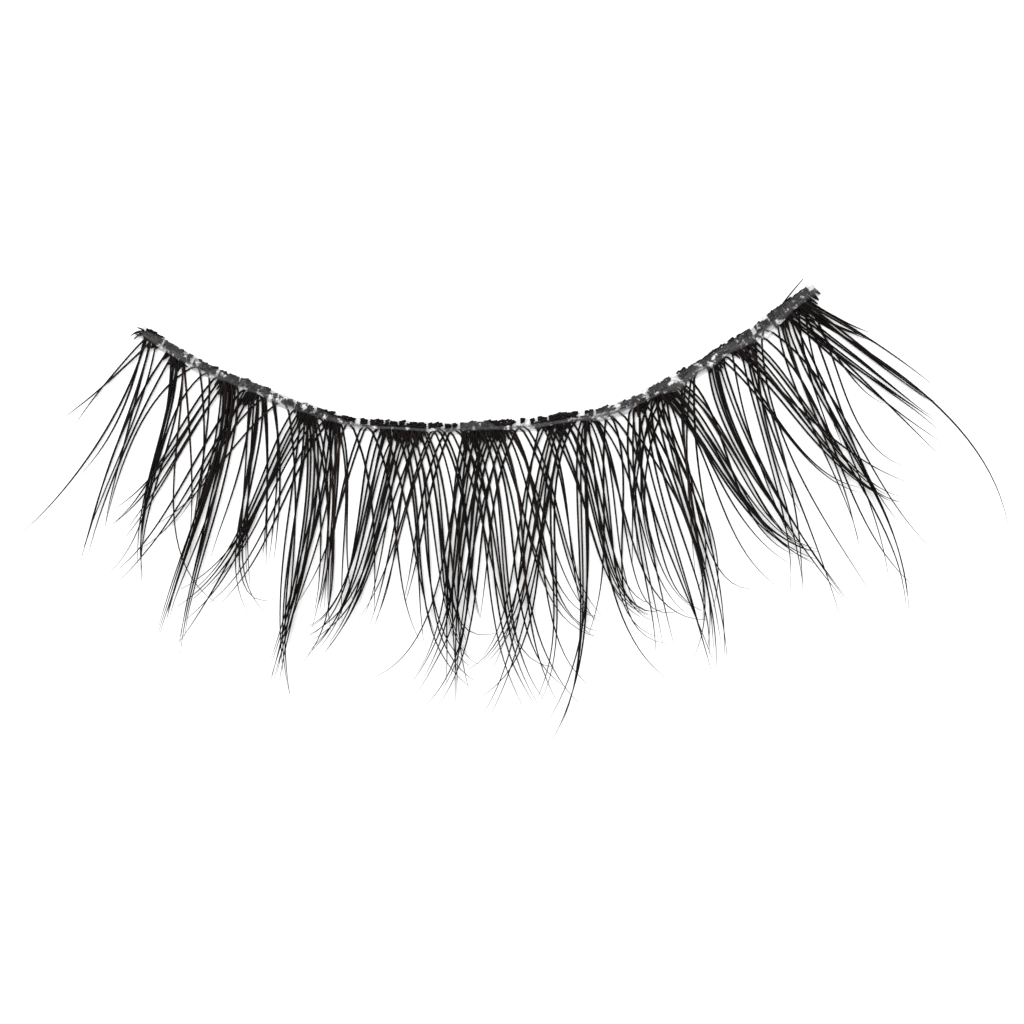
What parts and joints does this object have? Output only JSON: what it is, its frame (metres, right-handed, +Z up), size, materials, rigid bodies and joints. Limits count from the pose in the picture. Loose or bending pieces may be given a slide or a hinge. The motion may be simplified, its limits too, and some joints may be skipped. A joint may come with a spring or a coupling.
{
  "type": "false eyelash strip",
  "caption": "Strip of black false lashes for one eye: fine crossed lashes and pointed lash clusters knotted along a curved, clear carrier band, lying with the tips curled up.",
  "frame": {"origin": "middle of the carrier band's flat underside, on the surface that the strip lies on", "axes": "+X along the strip towards the end with the long spikes, +Y away from the lash tips, on the side that the band's ends bend to, +Z up, the way the tips curl"},
  "size_m": [0.0441, 0.0211, 0.0065],
  "materials": {
    "clear_band": "clear, slightly grey and glossy, with fine creases",
    "lash_hair": "black synthetic fibre with a soft sheen and a faint brown tone in the thick bundles",
    "clear_glue": "clear set glue, glossy, lumpy and cloudy white in places"
  },
  "bodies": {
    "root": {"carrier_band": "clear_band", "crossed_lashes": "lash_hair", "cluster_lashes": "lash_hair", "glue_film": "clear_glue"}
  },
  "joints": []
}
